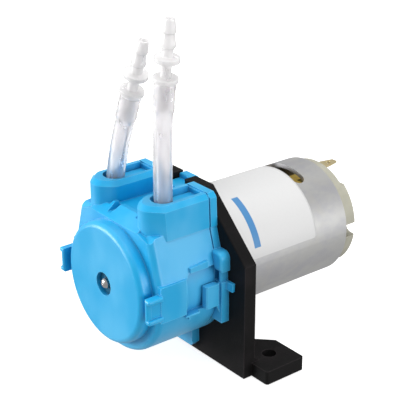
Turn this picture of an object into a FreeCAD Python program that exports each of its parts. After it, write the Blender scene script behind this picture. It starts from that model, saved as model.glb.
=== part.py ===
import FreeCAD, Part
import math
import os

# Peristaltic pump: a blue clip-fastened head on a black foot bracket, driven by a 385-size brushed motor.
# All lengths are millimetres. The pieces are built in the head's own frame: the origin is where the
# shaft axis meets the front boss, +X is to the right seen from the front, +Y runs back to the motor
# and +Z is up. Each piece is then moved to the pump's frame, whose origin lies on the base plane,
# midway between the two foot screws.

Vec = FreeCAD.Vector

# Driving sizes: places along the shaft axis
BOSS_Y = 0.0               # front face of the round boss
RIM_Y = 3.0                # front of the housing behind the boss
RACE_FRONT_Y = 4.8         # front end of the raceway
TUBE_Y = 9.6               # middle of the tube and of the rollers
SEAM_Y = 18.2              # joint between the front and the rear housing
PLATE_Y = 20.27            # front face of the bracket plate
PLATE_T = 3.0
CAN_Y = PLATE_Y + PLATE_T  # front face of the motor can
CAN_END_Y = 58.7

# Driving sizes: head
SHAFT_Z = 20.6             # height of the shaft over the base
FOOT_HOLE_X = 21.6
FOOT_HOLE_Y = 28.2
FOOT_HOLE_R = 1.6
NOTCH_Z = 16.2             # floor of the bracket's top notch
HEAD_R = 16.1
HEAD_TOP_Z = 15.4
WALL_LEAN = 16.4           # degrees that the side walls lean inward
BOSS_R = 13.58
RACE_R = 14.3
RACE_LEAN = 12.0           # degrees that the tube's legs lean inward
RACE_TOP_Z = 13.4
SHAFT_HOLE_R = 2.65
FILLER_FRONT_Y = 12.6      # the channel ribs of the rear housing begin here, behind the hose
FILLER_TOP_Z = 18.5
SEAM_GAP = 0.05
LATCH_Z = 18.05            # top of the latch's tongue, in the bracket's notch
BAR_X = 17.3               # outer face of the clip bars
BAR_TOP_Z = 8.0
BAR_FOOT_Z = -8.4
BAR_WINDOW_Z = (1.2, 3.7)  # window between the bar, its tab and its knob
TAB_X = 17.0
TAB_FRONT_Y = 14.5
TAB_Z = (-4.0, 1.1)
GROOVE_W = 0.35            # shadow groove round the seam
GROOVE_T = 0.4
LUG_X = 16.8               # outer ends of the finger lugs
LUG_FRONT_Y = -0.35
LUG_Z = (-3.1, 2.6)
LUG_FLANGE_T = 1.1

TOWER_IN_X = 4.3
TOWER_OUT_X = 13.0
TOWER_FRONT_Y = 3.9
TOWER_TOP_Z = 20.0
TOWER_BEVEL = 1.0
SKIRT_X = 13.3             # outer face of the towers at their foot
SKIRT_Z = 12.6             # lower edge of the towers' skirt
TOWER_CORNER = 3.0         # length cut off the towers' front corners, seen from above
TOWER_ROUND = 3.0          # rounding of those corners

# Driving sizes: drive
SHAFT_R = 1.15
SUN_R = 2.0
ROLLER_R = 5.05
ROLLER_GAP = 0.04
ORBIT_R = SUN_R + ROLLER_R + ROLLER_GAP
ROLLER_HALF = 4.4
PIN_R = 1.0
ROTOR_R = 10.6
ROTOR_FRONT_Y = (2.9, 4.9)
ROTOR_REAR_Y = (14.3, 16.1)

# Driving sizes: tube, 4 mm outside and 2 mm inside
TUBE_R = 2.0
BORE_R = 1.0
FLAT_T = 2.0               # tube squeezed flat on the raceway
FLAT_W = FLAT_T + math.pi * (TUBE_R - BORE_R)
TUBE_GAP = 0.05
FLAT_LINE_R = RACE_R - TUBE_GAP - FLAT_T / 2
ROUND_LINE_R = RACE_R - TUBE_GAP - TUBE_R
LEG_FLAT_S = 2.2           # distance up the leg at which the tube begins to open
LEG_ROUND_S = 7.7          # distance up the leg at which the tube is round again
LEG_END_S = 8.0            # distance up the leg at which the free hose end begins

# Driving sizes: motor
BELL_Y = 62.6              # rear face of the end bell
ARM_Z = 10.2               # distance of a brush arm from the shaft axis
ARM_T = 0.25
CAN_R = 13.85
CAN_T = 1.0
MAGNET_IN_R = 10.7
MAGNET_Y = (27.5, 51.5)
MAGNET_HALF_ANGLE = 58.0
CORE_R = 10.2
CORE_Y = (30.0, 46.0)
SCREW_X = 8.0
SCREW_R = 1.25


def box(x_range, y_range, z_range):
    """A box between three pairs of limits."""
    x0, x1 = x_range
    y0, y1 = y_range
    z0, z1 = z_range
    return Part.makeBox(x1 - x0, y1 - y0, z1 - z0, Vec(x0, y0, z0))


def rod(radius, y_range, x=0.0, z=0.0):
    """A cylinder along Y."""
    y0, y1 = y_range
    return Part.makeCylinder(radius, y1 - y0, Vec(x, y0, z), Vec(0, 1, 0))


def ring(outer, inner, y_range, x=0.0, z=0.0):
    """A tube along Y."""
    return rod(outer, y_range, x, z).cut(rod(inner, y_range, x, z))


def turned(profile):
    """A solid turned about the shaft axis from (radius, y) points."""
    wire = Part.makePolygon([Vec(r, y, 0) for r, y in profile + profile[:1]])
    return Part.Face(wire).revolve(Vec(0, 0, 0), Vec(0, 1, 0), 360)


def prism_y(points, y_range):
    """A prism along Y from (x, z) points."""
    y0, y1 = y_range
    wire = Part.makePolygon([Vec(x, y0, z) for x, z in points + points[:1]])
    return Part.Face(wire).extrude(Vec(0, y1 - y0, 0))


def prism_x(points, x_range):
    """A prism along X from (y, z) points."""
    x0, x1 = x_range
    wire = Part.makePolygon([Vec(x0, y, z) for y, z in points + points[:1]])
    return Part.Face(wire).extrude(Vec(x1 - x0, 0, 0))


def prism_z(points, z_range):
    """A prism along Z from (x, y) points."""
    z0, z1 = z_range
    wire = Part.makePolygon([Vec(x, y, z0) for x, y in points + points[:1]])
    return Part.Face(wire).extrude(Vec(0, 0, z1 - z0))


def mirrored(shape):
    """The shape's mirror image on the other side of the middle plane."""
    return shape.mirror(Vec(0, 0, 0), Vec(1, 0, 0))


def both_sides(shape):
    """A right-hand feature and its left-hand mirror image."""
    return shape.fuse(mirrored(shape))


def rounded(shape, radius, keep):
    """The shape with the edges that keep() picks rounded."""
    return shape.makeFillet(radius, [e for e in shape.Edges if keep(e)])


def bevelled(shape, size, keep):
    """The shape with the edges that keep() picks bevelled."""
    return shape.makeChamfer(size, [e for e in shape.Edges if keep(e)])


def at_y(edge, y):
    """Whether an edge lies in the plane at y."""
    limits = edge.BoundBox
    return abs(limits.YMin - y) < 1e-3 and abs(limits.YMax - y) < 1e-3


def at_z(edge, z):
    """Whether an edge lies in the plane at z."""
    limits = edge.BoundBox
    return abs(limits.ZMin - z) < 1e-3 and abs(limits.ZMax - z) < 1e-3


def upright(edge):
    """Whether an edge runs along Z."""
    limits = edge.BoundBox
    return limits.XLength < 1e-3 and limits.YLength < 1e-3


def head_outline(radius, lean, top_z, y):
    """The head's outline: a circle with two side walls that lean inward to a flat top."""
    a = math.radians(lean)
    foot = Vec(radius * math.cos(a), y, radius * math.sin(a))
    top_x = (radius - top_z * math.sin(a)) / math.cos(a)
    corner = Vec(top_x, y, top_z)
    left_foot = Vec(-foot.x, y, foot.z)
    left_corner = Vec(-corner.x, y, corner.z)
    edges = [
        Part.Arc(left_foot, Vec(0, y, -radius), foot).toShape(),
        Part.makeLine(foot, corner),
        Part.makeLine(corner, left_corner),
        Part.makeLine(left_corner, left_foot),
    ]
    return Part.Wire(edges)


def head_block(radius, lean, top_z, y_range):
    """The head's outline as a solid."""
    y0, y1 = y_range
    return Part.Face(head_outline(radius, lean, top_z, y0)).extrude(Vec(0, y1 - y0, 0))


def leg_point(line_r, s):
    """A point of the right leg, s up from where it leaves the loop's circle."""
    a = math.radians(RACE_LEAN)
    return Vec(line_r * math.cos(a) - s * math.sin(a), TUBE_Y, line_r * math.sin(a) + s * math.cos(a))


LEG_DIR = Vec(-math.sin(math.radians(RACE_LEAN)), 0, math.cos(math.radians(RACE_LEAN)))

# The free hose ends: points of the middle line as (x, z), from inside the tower to the fitting
RIGHT_ROUTE = [(8.76, 17.7), (8.78, 24.5), (8.86, 31.2), (9.1, 38.5), (10.07, 45.45)]
LEFT_ROUTE = [(-8.55, 18.7), (-6.65, 26.6), (-4.25, 33.2), (-1.6, 40.0)]


def tower(y_range):
    """The right tower's outside: bevelled top edges, and a side that widens down to a narrow skirt."""
    y0, y1 = y_range
    if y0 == TOWER_FRONT_Y:
        plan = tower_plan(TOWER_OUT_X, y1)
        plan = rounded(plan, TOWER_ROUND, lambda e: upright(e) and e.BoundBox.YMin < y0 + TOWER_CORNER + 0.1)
        block = bevelled(plan, TOWER_BEVEL, lambda e: at_z(e, TOWER_TOP_Z) and not at_y(e, y1))
        side = tower_plan(SKIRT_X, y1)
    else:
        block = box((TOWER_IN_X, TOWER_OUT_X), y_range, (10.0, TOWER_TOP_Z))
        block = bevelled(block, TOWER_BEVEL,
                         lambda e: at_z(e, TOWER_TOP_Z) and not at_y(e, y0) and not at_y(e, y1))
        side = box((TOWER_IN_X, SKIRT_X), y_range, (10.0, TOWER_TOP_Z))
    flare_z = TOWER_TOP_Z - TOWER_BEVEL
    flare = prism_y([(12.0, SKIRT_Z), (SKIRT_X, SKIRT_Z), (TOWER_OUT_X, flare_z), (12.0, flare_z)], y_range)
    return block.fuse(side.common(flare)).removeSplitter()


def tower_plan(out_x, y1):
    """A prism of the right tower's outline from above, with its front corners cut off."""
    y0 = TOWER_FRONT_Y
    cut = TOWER_CORNER
    side_y = y0 + cut + out_x - TOWER_OUT_X
    outline = [(TOWER_IN_X, y1), (TOWER_IN_X, y0 + cut), (TOWER_IN_X + cut, y0), (TOWER_OUT_X - cut, y0),
               (out_x, side_y), (out_x, y1)]
    return prism_z(outline, (10.0, TOWER_TOP_Z))


def tower_slot():
    """The right tower's tube channel: a round hole at the front and a straight channel to the rear."""
    low_z = RACE_TOP_Z - 0.6
    high_z = TOWER_TOP_Z + 1.0
    outline = [(7.5, low_z), (12.1, low_z), (11.05, 17.5), (11.0, high_z), (5.95, high_z), (6.4, 17.5)]
    channel = prism_y(outline, (TUBE_Y, SEAM_Y + 1.0))
    hole = Part.makeCone(2.9, 2.6, high_z - low_z, Vec(9.55, TUBE_Y, low_z), Vec(-0.14, 0, 1))
    return channel.fuse(hole)


def slot_filler():
    """The right rib of the rear housing that fills the tower's channel behind the hose."""
    outline = [(7.55, 13.2), (11.85, 13.2), (10.9, 17.5), (10.87, FILLER_TOP_Z), (6.42, FILLER_TOP_Z),
               (6.55, 17.5)]
    return prism_y(outline, (FILLER_FRONT_Y, SEAM_Y + 0.1))


def finger_lug():
    """The right C-shaped finger lug at the front of the clip arm."""
    arm = box((14.6, 16.15), (3.2, 9.8), (-3.9, 4.3))
    web = box((15.1, 16.0), (LUG_FRONT_Y + 0.2, 3.4), LUG_Z)
    bar = box((15.1, 16.1), (LUG_FRONT_Y, LUG_FRONT_Y + 1.1), LUG_Z)
    flange = box((15.1, LUG_X), (LUG_FRONT_Y, 3.5), (LUG_Z[0], LUG_Z[0] + LUG_FLANGE_T))
    other = flange.translated(Vec(0, 0, LUG_Z[1] - LUG_Z[0] - LUG_FLANGE_T))
    lug = web.fuse([bar, flange, other])
    lug = lug.removeSplitter()
    lug = rounded(lug, 0.45, lambda e: e.BoundBox.XMin > LUG_X - 0.1 or at_y(e, LUG_FRONT_Y))
    return arm.fuse(lug)


def side_recess():
    """The right side's open recess that takes the rear housing's hook."""
    outline = [(10.2, 3.7), (11.0, 4.9), (19.0, 5.0), (19.0, -4.0), (9.5, -4.3), (10.3, -2.5)]
    return prism_x(outline, (5.0, 20.0)).cut(rod(15.1, (0, 20)))


def front_housing():
    """The clip-fastened front housing: boss, raceway cup, two tube towers, finger lugs and recesses."""
    body = head_block(HEAD_R, WALL_LEAN, HEAD_TOP_Z, (RIM_Y, SEAM_Y))
    body = rounded(body, 1.4, lambda e: at_y(e, RIM_Y) and not at_z(e, HEAD_TOP_Z))
    boss = rod(BOSS_R, (BOSS_Y, RIM_Y + 0.5))
    boss = rounded(boss, 1.3, lambda e: at_y(e, BOSS_Y))
    ridge = box((-4.6, 4.6), (4.0, 7.2), (12.0, 16.0))
    body = body.fuse([boss, ridge])
    slope = prism_x([(2.0, 13.3), (2.0, 18.0), (6.3, 18.0), (6.3, 16.0), (3.0, 13.9)], (-16, 16))
    slope = slope.cut(rod(BOSS_R, (0, RIM_Y + 0.5)))
    shoulder_y = TOWER_FRONT_Y + TOWER_CORNER + SKIRT_X - TOWER_OUT_X
    outline = [(8.4, 14.0), (11.8, 12.9), (17.0, 12.7), (17.0, 18.0), (8.4, 18.0)]
    shoulder = prism_y(outline, (2.0, shoulder_y))
    outline = [(2.0, 12.0), (3.2, 12.7), (4.5, 13.8), (shoulder_y, 14.1), (shoulder_y, 18.0), (2.0, 18.0)]
    rise = prism_x(outline, (8.0, 17.0))
    shoulder = shoulder.common(rise)
    body = body.cut([slope, both_sides(shoulder)])
    notch = prism_y([(-4.1, 17.0), (-1.5, 17.0), (-2.3, 14.5), (-3.5, 14.5)], (RIM_Y - 0.2, 7.3))
    body = body.cut(notch)
    ledge = prism_x([(11.2, 5.1), (15.8, 5.1), (15.8, 6.6), (11.2, 6.2)], (14.0, 15.8))
    rib = box((14.6, 16.3), (9.6, 13.2), (-4.6, -4.1)).fuse(box((14.6, 16.2), (10.4, 10.9), (-5.3, -4.5)))
    body = body.fuse([both_sides(tower((TOWER_FRONT_Y, SEAM_Y))), both_sides(ledge), both_sides(rib)])
    body = body.cut(both_sides(side_recess()))
    body = body.fuse(both_sides(finger_lug()))
    race = head_block(RACE_R, RACE_LEAN, RACE_TOP_Z, (RACE_FRONT_Y, SEAM_Y + 1.0))
    pocket = rod(11.6, (2.0, RACE_FRONT_Y + 0.1))
    hole = rod(SHAFT_HOLE_R, (-1.0, 3.0))
    body = body.cut([race, pocket, hole, both_sides(tower_slot())])
    return body.removeSplitter()


def shaft_bush():
    """The bush in the boss that steadies the shaft's tip."""
    spigot_r = SHAFT_HOLE_R - 0.04
    return turned([(1.2, 1.0), (spigot_r, 1.0), (spigot_r, 2.0), (4.2, 2.0), (4.2, 2.6), (1.2, 2.6)])


def side_bar():
    """The right clip bar of the rear housing, with its knob, hook tab and peg."""
    bar = box((13.5, BAR_X), (SEAM_Y + SEAM_GAP, PLATE_Y), (BAR_FOOT_Z, BAR_TOP_Z - 1.0))
    corner = prism_y([(13.0, -9.0), (15.2, -9.0), (13.0, -7.4)], (17.0, 20.5))
    window = box((14.4, BAR_X - 0.9), (18.0, 20.5), BAR_WINDOW_Z)
    waist = box((BAR_X - 0.4, BAR_X + 1.0), (18.0, 20.5), BAR_WINDOW_Z)
    bar = bar.cut([corner, window, waist])
    knob = box((13.5, BAR_X + 0.25), (17.7, PLATE_Y), (BAR_WINDOW_Z[1], BAR_TOP_Z))
    knob = rounded(knob, 1.6, lambda e: at_z(e, BAR_TOP_Z) and e.BoundBox.XMin > BAR_X)
    knob = rounded(knob, 0.6, lambda e: at_y(e, 17.7) and e.BoundBox.ZMax > BAR_TOP_Z - 2.0)
    under_z = BAR_WINDOW_Z[1] - 0.1
    under = prism_x([(17.0, under_z), (18.3, under_z), (17.0, 5.4)], (13.0, 18.0))
    clear = head_block(HEAD_R + 0.1, WALL_LEAN, HEAD_TOP_Z, (17.0, SEAM_Y + SEAM_GAP))
    knob = knob.cut([under, clear])
    tab = box((15.45, TAB_X), (TAB_FRONT_Y, 17.7), TAB_Z)
    tab = bevelled(tab, 0.3, lambda e: at_y(e, TAB_FRONT_Y) and e.BoundBox.XMin > TAB_X - 0.1)
    link = box((16.35, TAB_X - 0.35), (17.5, SEAM_Y + 0.3), (TAB_Z[0] + 0.9, TAB_Z[1]))
    gusset = prism_x([(17.0, TAB_Z[0] + 0.9), (18.4, -6.4), (18.4, TAB_Z[0] + 1.0)], (16.35, TAB_X - 0.35))
    peg = box((BAR_X - 0.3, BAR_X + 2.1), (PLATE_Y - 0.75, PLATE_Y), (-0.7, 1.2))
    peg = rounded(peg, 0.25, lambda e: e.BoundBox.XMin > BAR_X + 2.0)
    return bar.fuse([knob, tab, link, gusset, peg]).removeSplitter()


def top_latch():
    """The rear housing's top latch: a tongue through the bracket's notch with a raised end."""
    half = 2.1
    upright_part = box((-half, half), (SEAM_Y + SEAM_GAP, PLATE_Y), (13.0, LATCH_Z))
    tongue = box((-half, half), (SEAM_Y + SEAM_GAP, 22.6), (NOTCH_Z + 0.05, LATCH_Z))
    lip = box((-half, half), (22.2, 24.2), (NOTCH_Z + 0.05, 19.25))
    lip = rounded(lip, 0.35, lambda e: at_z(e, 19.25))
    return upright_part.fuse([tongue, lip]).removeSplitter()


def rear_housing():
    """The rear housing: closing wall, spigot, tower backs, clip bars, top latch and bottom tab."""
    wall_y = (SEAM_Y + GROOVE_W, PLATE_Y)
    seam_y = (SEAM_Y + SEAM_GAP, SEAM_Y + GROOVE_W + 0.1)
    wall = head_block(HEAD_R, WALL_LEAN, HEAD_TOP_Z, wall_y)
    inset = head_block(HEAD_R - GROOVE_T, WALL_LEAN, HEAD_TOP_Z - GROOVE_T, seam_y)
    inset_x = (TOWER_IN_X + GROOVE_T, TOWER_OUT_X - GROOVE_T)
    tower_inset = box(inset_x, seam_y, (12.0, TOWER_TOP_Z - GROOVE_T))
    spigot = head_block(RACE_R - 0.1, RACE_LEAN, RACE_TOP_Z - 0.1, (16.9, SEAM_Y + 0.1))
    spigot = spigot.cut(head_block(RACE_R - 1.4, RACE_LEAN, RACE_TOP_Z - 1.4, (16.0, SEAM_Y + 0.05)))
    foot = prism_x([(SEAM_Y + 0.05, -13.0), (SEAM_Y + 0.05, -17.4), (19.2, -19.6), (PLATE_Y, -19.6),
                    (PLATE_Y, -13.0)], (-7.0, 7.0))
    foot = bevelled(foot, 1.6, lambda e: at_z(e, -19.6) and e.BoundBox.XLength < 1e-3)
    shell = wall.fuse([inset, spigot, top_latch(), foot])
    shell = shell.fuse([both_sides(piece) for piece in (tower(wall_y), tower_inset, slot_filler())])
    shell = shell.cut(both_sides(box((14.9, 16.4), (18.0, 20.5), BAR_WINDOW_Z)))
    shell = shell.fuse(both_sides(side_bar()))
    shell = shell.cut(rod(2.6, (15, 21)))
    shell = shell.cut(both_sides(rod(SCREW_R + 0.1, (15, 21), x=SCREW_X)))
    return shell.removeSplitter()


def mounting_bracket():
    """The black bracket: an upright plate with clipped shoulders on two screw-down feet."""
    half = 22.44
    low = -SHAFT_Z
    top = 19.53
    outline = [(-half, low), (half, low), (half, 6.07), (8.27, top), (2.21, top), (2.21, NOTCH_Z),
               (-2.21, NOTCH_Z), (-2.21, top), (-8.27, top), (-half, 6.07)]
    plate = prism_y(outline, (PLATE_Y, CAN_Y))
    foot_top = low + 3.15
    foot = prism_z([(8.4, CAN_Y - 0.3), (8.4, CAN_Y), (18.26, 33.11), (27.45, 33.11), (27.45, 22.5),
                    (22.0, 22.5), (22.0, CAN_Y - 0.3)], (low, foot_top))
    foot = rounded(foot, 0.6, lambda e: upright(e) and e.BoundBox.XMin > 27.0)
    weld = prism_x([(CAN_Y - 0.2, foot_top + 1.2), (CAN_Y, foot_top + 1.2), (CAN_Y + 1.2, foot_top),
                    (CAN_Y + 1.2, foot_top - 0.2), (CAN_Y - 0.2, foot_top - 0.2)], (10.5, half))
    bracket = plate.fuse([both_sides(foot), both_sides(weld)])
    foot_hole = Part.makeCylinder(FOOT_HOLE_R, 5.0, Vec(FOOT_HOLE_X, FOOT_HOLE_Y, low - 1))
    bracket = bracket.cut(both_sides(foot_hole))
    bracket = bracket.cut(both_sides(rod(SCREW_R + 0.1, (19, 25), x=SCREW_X)))
    bracket = bracket.cut(rod(5.1, (19, 25)))
    bracket = bracket.removeSplitter()
    return rounded(bracket, 0.35, lambda e: at_y(e, PLATE_Y) and e.BoundBox.XLength > 10.0
                   and e.BoundBox.ZMin > 0)


def brush_window(angle):
    """The oval brush opening in the can, centred at an angle about the shaft axis."""
    half = CAN_R * math.sin(math.radians(17.5))
    end_r = 1.7
    middle_y = 50.5
    slot = box((-half, half), (middle_y - end_r, middle_y + end_r), (9.0, 16.0))
    ends = [Part.makeCylinder(end_r, 7.0, Vec(side * half, middle_y, 9.0)) for side in (-1, 1)]
    opening = slot.fuse(ends)
    opening.rotate(Vec(0, 0, 0), Vec(0, 1, 0), angle)
    return opening


def motor_can():
    """The drawn steel can, with its front boss, vents and brush openings."""
    can = turned([(3.0, 21.0), (5.0, 21.0), (5.0, CAN_Y), (CAN_R - 1.0, CAN_Y), (CAN_R, CAN_Y + 1.0),
                  (CAN_R, CAN_END_Y - 0.2), (CAN_R - 0.2, CAN_END_Y), (CAN_R - CAN_T, CAN_END_Y),
                  (CAN_R - CAN_T, CAN_Y + CAN_T), (3.0, CAN_Y + CAN_T)])
    can = can.cut([brush_window(3.5), brush_window(183.5)])
    can = can.cut(both_sides(rod(SCREW_R, (20, 26), x=SCREW_X)))
    vents = [rod(1.5, (20, 26), x=x, z=z) for x in (-5.5, 5.5) for z in (-5.5, 5.5)]
    return can.cut(vents).removeSplitter()


def sintered_bush(y_range):
    """A sintered bronze bearing for the motor shaft."""
    y0, y1 = y_range
    edge = 0.4
    return turned([(SHAFT_R + 0.03, y0), (3.0 - edge, y0), (3.0, y0 + edge), (3.0, y1 - edge),
                   (3.0 - edge, y1), (SHAFT_R + 0.03, y1)])


def magnet():
    """The right-hand arc magnet, glued inside the can."""
    reach = 20.0
    rise = reach * math.tan(math.radians(MAGNET_HALF_ANGLE))
    wedge = prism_y([(0, 0), (reach, rise), (reach, -rise)], MAGNET_Y)
    return ring(CAN_R - CAN_T, MAGNET_IN_R, MAGNET_Y).common(wedge)


def end_bell():
    """The ivory end bell that closes the can, with its side slots, thin segments and bearing boss."""
    inner_r = CAN_R - CAN_T
    bell = turned([(3.0, 59.4), (8.0, 59.4), (8.0, 55.6), (inner_r, 55.6), (inner_r, CAN_END_Y),
                   (12.95, CAN_END_Y), (12.95, 62.1), (12.4, BELL_Y), (4.2, BELL_Y), (4.2, 64.0),
                   (3.0, 64.0)])
    side_slot = rod(1.6, (CAN_END_Y, 64), x=11.4, z=-0.4)
    side_slot = side_slot.fuse(box((11.4, 14), (CAN_END_Y, 64), (-2.0, 1.2)))
    segment = box((-14, 14), (61.3, 64), (9.3, 14))
    slots = [box((-1.6, 1.6), (55, 64), (z - 0.35, z + 0.35)) for z in (-11.3, 11.3)]
    arms = [box((-1.3, 1.3), (55, 57.4), (z - 0.2, z + 0.2)) for z in (-ARM_Z - 0.12, ARM_Z + 0.12)]
    bell = bell.cut([both_sides(side_slot), segment, lower(segment)] + slots + arms)
    return bell.removeSplitter()


def terminal():
    """The upper solder terminal: a brass tab with an eye, through the end bell."""
    outline = [(-1.5, 57.6), (1.5, 57.6), (1.5, 64.2), (0.75, 67.5), (-0.75, 67.5), (-1.5, 64.2)]
    tab = prism_z(outline, (11.05, 11.55))
    return tab.cut(Part.makeCylinder(0.6, 3.0, Vec(0, 65.2, 10.0)))


def brush_arm():
    """The upper brush arm: a phosphor-bronze leaf from the end bell to the brush."""
    leaf = box((-1.2, 1.2), (50.4, 57.2), (ARM_Z, ARM_Z + ARM_T))
    shield = box((-1.2, 4.4), (50.4, 53.6), (ARM_Z, ARM_Z + ARM_T))
    foot = box((-1.2, 1.2), (50.4, 50.4 + ARM_T), (7.0, ARM_Z + 0.1))
    return leaf.fuse([shield, foot]).removeSplitter()


def carbon_brush():
    """The upper carbon brush, resting on the commutator."""
    return box((-1.5, 1.5), (50.7, 53.7), (4.15, 8.38))


def lower(shape):
    """An upper motor piece, turned half a turn about the shaft to its lower place."""
    copy = shape.copy()
    copy.rotate(Vec(0, 0, 0), Vec(0, 1, 0), 180)
    return copy


def motor_label():
    """The blank label that wraps the upper right of the can."""
    y0, y1 = CAN_Y + 1.1, 48.95
    sleeve = ring(CAN_R + 0.12, CAN_R + 0.02, (y0, y1))
    wedge = prism_y([(0, 0), (30, 3.6), (30, 30), (-30, 30), (-30, -3.6)], (y0, y1))
    return sleeve.common(wedge)


def motor_screws():
    """The two screws that hold the rear housing and the bracket to the motor."""
    solids = []
    for x in (-SCREW_X, SCREW_X):
        shank = rod(SCREW_R - 0.02, (SEAM_Y, 26.0), x=x)
        head = rod(2.2, (SEAM_Y - 1.35, SEAM_Y + 0.04), x=x)
        slots = [box((x - 1.3, x + 1.3), (16, 17.5), (-0.25, 0.25)),
                 box((x - 0.25, x + 0.25), (16, 17.5), (-1.3, 1.3))]
        solids.append(rounded(head, 0.5, lambda e: at_y(e, SEAM_Y - 1.35)).fuse(shank).cut(slots))
    return Part.makeCompound(solids)


def motor_shaft():
    """The long motor shaft, domed at the front tip."""
    profile = [(0, -0.3), (0.5, -0.24), (0.85, -0.05), (SHAFT_R, 0.3), (SHAFT_R, 65.2), (0.9, 65.5),
               (0, 65.5)]
    return turned(profile)


def drive_sleeve():
    """The steel sleeve on the shaft that the rollers run against."""
    return ring(SUN_R, SHAFT_R, (5.15, 14.05))


def armature_core():
    """The laminated armature core, with five winding slots."""
    core = ring(CORE_R, SHAFT_R, CORE_Y)
    slots = []
    for step in range(5):
        a = math.radians(90 + 72 * step)
        pocket = rod(2.6, (29, 47), x=6.3 * math.cos(a), z=6.3 * math.sin(a))
        mouth = box((-0.6, 0.6), (29, 47), (6.3, 11.0))
        mouth.rotate(Vec(0, 0, 0), Vec(0, 1, 0), -72 * step)
        slots += [pocket, mouth]
    return core.cut(slots)


def armature_windings():
    """The copper windings: two end turns joined by the fill of the five slots."""
    y0, y1 = CORE_Y
    front = turned([(3.4, y0 - 1.8), (4.6, y0 - 2.6), (7.4, y0 - 2.6), (8.9, y0 - 1.6), (8.9, y0),
                    (3.4, y0)])
    rear = turned([(3.4, y1), (8.9, y1), (8.9, y1 + 1.6), (7.4, y1 + 2.4), (4.6, y1 + 2.4),
                   (3.4, y1 + 1.6)])
    fills = []
    for step in range(5):
        a = math.radians(90 + 72 * step)
        fills.append(rod(2.5, (y0 - 0.5, y1 + 0.5), x=6.3 * math.cos(a), z=6.3 * math.sin(a)))
    return front.fuse([rear] + fills).removeSplitter()


def commutator():
    """The copper commutator with five bars."""
    drum = ring(4.1, SHAFT_R, (49.4, 55.2))
    collar = ring(4.6, SHAFT_R, (48.6, 49.4))
    cuts = []
    for step in range(5):
        cut = box((-0.2, 0.2), (49.4, 56), (3.5, 5.0))
        cut.rotate(Vec(0, 0, 0), Vec(0, 1, 0), 36 + 72 * step)
        cuts.append(cut)
    return drum.fuse(collar).cut(cuts).removeSplitter()


def roller_place(index):
    """The middle of a roller as (x, z), in the rotor's rest position."""
    a = math.radians(90 + 120 * index)
    return ORBIT_R * math.cos(a), ORBIT_R * math.sin(a)


def rotor_plate(y_range):
    """One plate of the roller carrier, with its shaft hole, pin holes and windows."""
    plate = ring(ROTOR_R, SHAFT_R + 0.07, y_range)
    cuts = []
    for index in range(3):
        x, z = roller_place(index)
        cuts.append(rod(PIN_R, (0, 20), x=x, z=z))
        a = math.radians(30 + 120 * index)
        cuts.append(rod(1.5, (0, 20), x=5.2 * math.cos(a), z=5.2 * math.sin(a)))
    return plate.cut(cuts)


def rotor_front_plate():
    """The carrier's front plate."""
    plate = rotor_plate(ROTOR_FRONT_Y)
    y0, _ = ROTOR_FRONT_Y
    holes = []
    for index in range(3):
        a = math.radians(30 + 120 * index)
        holes.append(rod(1.0, (y0 - 1, 6), x=8.9 * math.cos(a), z=8.9 * math.sin(a)))
    return plate.cut(holes)


def rotor_rear_plate():
    """The carrier's rear plate, with the three posts that tie it to the front plate."""
    plate = rotor_plate(ROTOR_REAR_Y)
    posts = []
    for index in range(3):
        a = math.radians(30 + 120 * index)
        x, z = 8.9 * math.cos(a), 8.9 * math.sin(a)
        posts.append(rod(1.55, (ROTOR_FRONT_Y[1], 15), x=x, z=z))
        posts.append(rod(1.0, (ROTOR_FRONT_Y[0], 15), x=x, z=z))
    return plate.fuse(posts).removeSplitter()


def roller_pin(index):
    """A steel pin that carries one roller."""
    x, z = roller_place(index)
    return rod(PIN_R, (ROTOR_FRONT_Y[0], ROTOR_REAR_Y[1]), x=x, z=z)


def roller(index):
    """One roller, with rounded edges."""
    x, z = roller_place(index)
    y0, y1 = TUBE_Y - ROLLER_HALF, TUBE_Y + ROLLER_HALF
    body = ring(ROLLER_R, PIN_R + 0.05, (y0, y1), x=x, z=z)
    return rounded(body, 0.5, lambda e: (at_y(e, y0) or at_y(e, y1)) and e.BoundBox.XLength > 5)


def rotor_washer():
    """The thrust washer behind the carrier."""
    return ring(3.0, SHAFT_R + 0.07, (ROTOR_REAR_Y[1], ROTOR_REAR_Y[1] + 0.5))


def stadium(centre, across, width, thick):
    """A rounded strip section: width along Y and thick along the across direction."""
    half_w = Vec(0, (width - thick) / 2, 0)
    half_t = across * (thick / 2)
    bulge = Vec(0, thick / 2, 0)
    a, b = centre + half_w + half_t, centre + half_w - half_t
    c, d = centre - half_w - half_t, centre - half_w + half_t
    edges = [Part.Arc(a, centre + half_w + bulge, b).toShape(), Part.makeLine(b, c),
             Part.Arc(c, centre - half_w - bulge, d).toShape(), Part.makeLine(d, a)]
    return Part.Wire(edges)


def tube_leg():
    """The right leg of the pump tube, from the flat loop to the round section."""
    a = math.radians(RACE_LEAN)
    across = Vec(math.cos(a), 0, math.sin(a))
    section = Part.Face(stadium(leg_point(FLAT_LINE_R, 0), across, FLAT_W, FLAT_T))
    flat = section.extrude(LEG_DIR * LEG_FLAT_S)
    foot = stadium(leg_point(FLAT_LINE_R, LEG_FLAT_S), across, FLAT_W, FLAT_T)
    top = stadium(leg_point(ROUND_LINE_R, LEG_ROUND_S), across, 2 * TUBE_R + 0.02, 2 * TUBE_R - 0.02)
    taper = Part.makeLoft([foot, top], True, True)
    end = Part.makeCylinder(TUBE_R, LEG_END_S - LEG_ROUND_S, leg_point(ROUND_LINE_R, LEG_ROUND_S), LEG_DIR)
    bore_foot = leg_point(FLAT_LINE_R - 0.2, LEG_FLAT_S + 1.0)
    bore_top = leg_point(ROUND_LINE_R, LEG_END_S)
    bore = Part.makeCone(0.15, BORE_R, (bore_top - bore_foot).Length, bore_foot, bore_top - bore_foot)
    return flat.fuse([taper, end]).cut(bore)


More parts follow.
